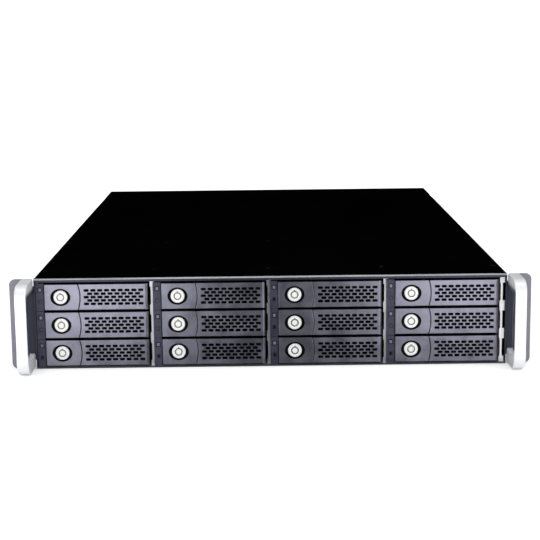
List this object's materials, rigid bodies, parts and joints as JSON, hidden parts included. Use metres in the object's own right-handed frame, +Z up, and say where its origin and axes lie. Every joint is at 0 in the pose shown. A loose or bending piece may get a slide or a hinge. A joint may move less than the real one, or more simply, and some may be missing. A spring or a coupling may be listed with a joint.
{
  "type": "network attached storage",
  "caption": "Rack storage box with keyed drive trays in front, a fan wall, a main board and stacked power supplies inside, and handled rack ears.",
  "frame": {"origin": "bottom centre of the whole box, handles and supply pulls included", "axes": "+X to the right seen from the front, +Y from front to back, +Z up"},
  "size_m": [0.4826, 0.708, 0.085],
  "materials": {
    "tray_enamel": "satin slate",
    "lock_chrome": "polished",
    "black_steel": "black, fine texture",
    "bright_steel": "zinc plated",
    "trim_aluminium": "anodised slate, bright edge",
    "grey_steel": "satin grey",
    "satin_aluminium": "satin silver",
    "circuit_board": "green board with parts",
    "black_plastic": "matte black",
    "latch_plastic": "dark red",
    "cable_jacket": "matte jacket",
    "screw_steel": "zinc plated"
  },
  "bodies": {
    "case": {"chassis_base": "black_steel", "front_top_panel": "black_steel", "drive_cage": "bright_steel", "trim_rail": "trim_aluminium", "ear_left": "grey_steel", "ear_right": "grey_steel", "handle_left": "satin_aluminium", "handle_right": "satin_aluminium", "backplane": "circuit_board", "fan_frames": "black_plastic", "motherboard": "circuit_board", "cpu_heatsink": "satin_aluminium", "memory_modules": "circuit_board", "cables": "cable_jacket", "fasteners": "screw_steel"},
    "tray_11": {"tray_11": "tray_enamel"},
    "lever_11": {"lever_11": "tray_enamel"},
    "keylock_11": {"keylock_11": "lock_chrome"},
    "tray_12": {"tray_12": "tray_enamel"},
    "lever_12": {"lever_12": "tray_enamel"},
    "keylock_12": {"keylock_12": "lock_chrome"},
    "tray_13": {"tray_13": "tray_enamel"},
    "lever_13": {"lever_13": "tray_enamel"},
    "keylock_13": {"keylock_13": "lock_chrome"},
    "tray_21": {"tray_21": "tray_enamel"},
    "lever_21": {"lever_21": "tray_enamel"},
    "keylock_21": {"keylock_21": "lock_chrome"},
    "tray_22": {"tray_22": "tray_enamel"},
    "lever_22": {"lever_22": "tray_enamel"},
    "keylock_22": {"keylock_22": "lock_chrome"},
    "tray_23": {"tray_23": "tray_enamel"},
    "lever_23": {"lever_23": "tray_enamel"},
    "keylock_23": {"keylock_23": "lock_chrome"},
    "tray_31": {"tray_31": "tray_enamel"},
    "lever_31": {"lever_31": "tray_enamel"},
    "keylock_31": {"keylock_31": "lock_chrome"},
    "tray_32": {"tray_32": "tray_enamel"},
    "lever_32": {"lever_32": "tray_enamel"},
    "keylock_32": {"keylock_32": "lock_chrome"},
    "tray_33": {"tray_33": "tray_enamel"},
    "lever_33": {"lever_33": "tray_enamel"},
    "keylock_33": {"keylock_33": "lock_chrome"},
    "tray_41": {"tray_41": "tray_enamel"},
    "lever_41": {"lever_41": "tray_enamel"},
    "keylock_41": {"keylock_41": "lock_chrome"},
    "tray_42": {"tray_42": "tray_enamel"},
    "lever_42": {"lever_42": "tray_enamel"},
    "keylock_42": {"keylock_42": "lock_chrome"},
    "tray_43": {"tray_43": "tray_enamel"},
    "lever_43": {"lever_43": "tray_enamel"},
    "keylock_43": {"keylock_43": "lock_chrome"},
    "rear_cover": {"rear_cover": "black_steel"},
    "fan_rotor_left": {"fan_rotor_left": "black_plastic"},
    "fan_rotor_middle": {"fan_rotor_middle": "black_plastic"},
    "fan_rotor_right": {"fan_rotor_right": "black_plastic"},
    "psu_lower": {"psu_lower": "bright_steel"},
    "psu_latch_lower": {"psu_latch_lower": "latch_plastic"},
    "psu_upper": {"psu_upper": "bright_steel"},
    "psu_latch_upper": {"psu_latch_upper": "latch_plastic"},
    "power_button": {"power_button": "black_plastic"}
  },
  "joints": [
    {"name": "tray_slide_11", "type": "slide", "parent": "case", "child": "tray_11", "axis": [0, -1, 0], "range_m": [0, 0.17]},
    {"name": "lever_hinge_11", "type": "hinge", "parent": "tray_11", "child": "lever_11", "pos_m": [-0.1177, -0.313, 0.01445], "axis": [0, 0, 1], "range_deg": [0, 75]},
    {"name": "keylock_turn_11", "type": "hinge", "parent": "tray_11", "child": "keylock_11", "pos_m": [-0.1941, -0.318, 0.01445], "axis": [0, 1, 0], "range_deg": [0, 90]},
    {"name": "tray_slide_12", "type": "slide", "parent": "case", "child": "tray_12", "axis": [0, -1, 0], "range_m": [0, 0.17]},
    {"name": "lever_hinge_12", "type": "hinge", "parent": "tray_12", "child": "lever_12", "pos_m": [-0.1177, -0.313, 0.0409], "axis": [0, 0, 1], "range_deg": [0, 75]},
    {"name": "keylock_turn_12", "type": "hinge", "parent": "tray_12", "child": "keylock_12", "pos_m": [-0.1941, -0.318, 0.0409], "axis": [0, 1, 0], "range_deg": [0, 90]},
    {"name": "tray_slide_13", "type": "slide", "parent": "case", "child": "tray_13", "axis": [0, -1, 0], "range_m": [0, 0.17]},
    {"name": "lever_hinge_13", "type": "hinge", "parent": "tray_13", "child": "lever_13", "pos_m": [-0.1177, -0.313, 0.06735], "axis": [0, 0, 1], "range_deg": [0, 75]},
    {"name": "keylock_turn_13", "type": "hinge", "parent": "tray_13", "child": "keylock_13", "pos_m": [-0.1941, -0.318, 0.06735], "axis": [0, 1, 0], "range_deg": [0, 90]},
    {"name": "tray_slide_21", "type": "slide", "parent": "case", "child": "tray_21", "axis": [0, -1, 0], "range_m": [0, 0.17]},
    {"name": "lever_hinge_21", "type": "hinge", "parent": "tray_21", "child": "lever_21", "pos_m": [-0.0096, -0.313, 0.01445], "axis": [0, 0, 1], "range_deg": [0, 75]},
    {"name": "keylock_turn_21", "type": "hinge", "parent": "tray_21", "child": "keylock_21", "pos_m": [-0.086, -0.318, 0.01445], "axis": [0, 1, 0], "range_deg": [0, 90]},
    {"name": "tray_slide_22", "type": "slide", "parent": "case", "child": "tray_22", "axis": [0, -1, 0], "range_m": [0, 0.17]},
    {"name": "lever_hinge_22", "type": "hinge", "parent": "tray_22", "child": "lever_22", "pos_m": [-0.0096, -0.313, 0.0409], "axis": [0, 0, 1], "range_deg": [0, 75]},
    {"name": "keylock_turn_22", "type": "hinge", "parent": "tray_22", "child": "keylock_22", "pos_m": [-0.086, -0.318, 0.0409], "axis": [0, 1, 0], "range_deg": [0, 90]},
    {"name": "tray_slide_23", "type": "slide", "parent": "case", "child": "tray_23", "axis": [0, -1, 0], "range_m": [0, 0.17]},
    {"name": "lever_hinge_23", "type": "hinge", "parent": "tray_23", "child": "lever_23", "pos_m": [-0.0096, -0.313, 0.06735], "axis": [0, 0, 1], "range_deg": [0, 75]},
    {"name": "keylock_turn_23", "type": "hinge", "parent": "tray_23", "child": "keylock_23", "pos_m": [-0.086, -0.318, 0.06735], "axis": [0, 1, 0], "range_deg": [0, 90]},
    {"name": "tray_slide_31", "type": "slide", "parent": "case", "child": "tray_31", "axis": [0, -1, 0], "range_m": [0, 0.17]},
    {"name": "lever_hinge_31", "type": "hinge", "parent": "tray_31", "child": "lever_31", "pos_m": [0.0985, -0.313, 0.01445], "axis": [0, 0, 1], "range_deg": [0, 75]},
    {"name": "keylock_turn_31", "type": "hinge", "parent": "tray_31", "child": "keylock_31", "pos_m": [0.0221, -0.318, 0.01445], "axis": [0, 1, 0], "range_deg": [0, 90]},
    {"name": "tray_slide_32", "type": "slide", "parent": "case", "child": "tray_32", "axis": [0, -1, 0], "range_m": [0, 0.17]},
    {"name": "lever_hinge_32", "type": "hinge", "parent": "tray_32", "child": "lever_32", "pos_m": [0.0985, -0.313, 0.0409], "axis": [0, 0, 1], "range_deg": [0, 75]},
    {"name": "keylock_turn_32", "type": "hinge", "parent": "tray_32", "child": "keylock_32", "pos_m": [0.0221, -0.318, 0.0409], "axis": [0, 1, 0], "range_deg": [0, 90]},
    {"name": "tray_slide_33", "type": "slide", "parent": "case", "child": "tray_33", "axis": [0, -1, 0], "range_m": [0, 0.17]},
    {"name": "lever_hinge_33", "type": "hinge", "parent": "tray_33", "child": "lever_33", "pos_m": [0.0985, -0.313, 0.06735], "axis": [0, 0, 1], "range_deg": [0, 75]},
    {"name": "keylock_turn_33", "type": "hinge", "parent": "tray_33", "child": "keylock_33", "pos_m": [0.0221, -0.318, 0.06735], "axis": [0, 1, 0], "range_deg": [0, 90]},
    {"name": "tray_slide_41", "type": "slide", "parent": "case", "child": "tray_41", "axis": [0, -1, 0], "range_m": [0, 0.17]},
    {"name": "lever_hinge_41", "type": "hinge", "parent": "tray_41", "child": "lever_41", "pos_m": [0.2066, -0.313, 0.01445], "axis": [0, 0, 1], "range_deg": [0, 75]},
    {"name": "keylock_turn_41", "type": "hinge", "parent": "tray_41", "child": "keylock_41", "pos_m": [0.1302, -0.318, 0.01445], "axis": [0, 1, 0], "range_deg": [0, 90]},
    {"name": "tray_slide_42", "type": "slide", "parent": "case", "child": "tray_42", "axis": [0, -1, 0], "range_m": [0, 0.17]},
    {"name": "lever_hinge_42", "type": "hinge", "parent": "tray_42", "child": "lever_42", "pos_m": [0.2066, -0.313, 0.0409], "axis": [0, 0, 1], "range_deg": [0, 75]},
    {"name": "keylock_turn_42", "type": "hinge", "parent": "tray_42", "child": "keylock_42", "pos_m": [0.1302, -0.318, 0.0409], "axis": [0, 1, 0], "range_deg": [0, 90]},
    {"name": "tray_slide_43", "type": "slide", "parent": "case", "child": "tray_43", "axis": [0, -1, 0], "range_m": [0, 0.17]},
    {"name": "lever_hinge_43", "type": "hinge", "parent": "tray_43", "child": "lever_43", "pos_m": [0.2066, -0.313, 0.06735], "axis": [0, 0, 1], "range_deg": [0, 75]},
    {"name": "keylock_turn_43", "type": "hinge", "parent": "tray_43", "child": "keylock_43", "pos_m": [0.1302, -0.318, 0.06735], "axis": [0, 1, 0], "range_deg": [0, 90]},
    {"name": "rear_cover_lift", "type": "slide", "parent": "case", "child": "rear_cover", "axis": [0, 0, 1], "range_m": [0, 0.12]},
    {"name": "fan_spin_left", "type": "hinge", "parent": "case", "child": "fan_rotor_left", "pos_m": [-0.104, -0.081, 0.0412], "axis": [0, 1, 0], "continuous": true},
    {"name": "fan_spin_middle", "type": "hinge", "parent": "case", "child": "fan_rotor_middle", "pos_m": [0, -0.081, 0.0412], "axis": [0, 1, 0], "continuous": true},
    {"name": "fan_spin_right", "type": "hinge", "parent": "case", "child": "fan_rotor_right", "pos_m": [0.104, -0.081, 0.0412], "axis": [0, 1, 0], "continuous": true},
    {"name": "psu_slide_lower", "type": "slide", "parent": "case", "child": "psu_lower", "axis": [0, 1, 0], "range_m": [0, 0.16]},
    {"name": "psu_latch_press_lower", "type": "slide", "parent": "psu_lower", "child": "psu_latch_lower", "axis": [1, 0, 0], "range_m": [0, 0.0028], "stiffness_N_per_m": 300, "springref_m": -0.002},
    {"name": "psu_slide_upper", "type": "slide", "parent": "case", "child": "psu_upper", "axis": [0, 1, 0], "range_m": [0, 0.16]},
    {"name": "psu_latch_press_upper", "type": "slide", "parent": "psu_upper", "child": "psu_latch_upper", "axis": [1, 0, 0], "range_m": [0, 0.0028], "stiffness_N_per_m": 300, "springref_m": -0.002},
    {"name": "power_button_press", "type": "slide", "parent": "case", "child": "power_button", "axis": [0, -1, 0], "range_m": [0, 0.0015], "stiffness_N_per_m": 400, "springref_m": -0.002}
  ]
}
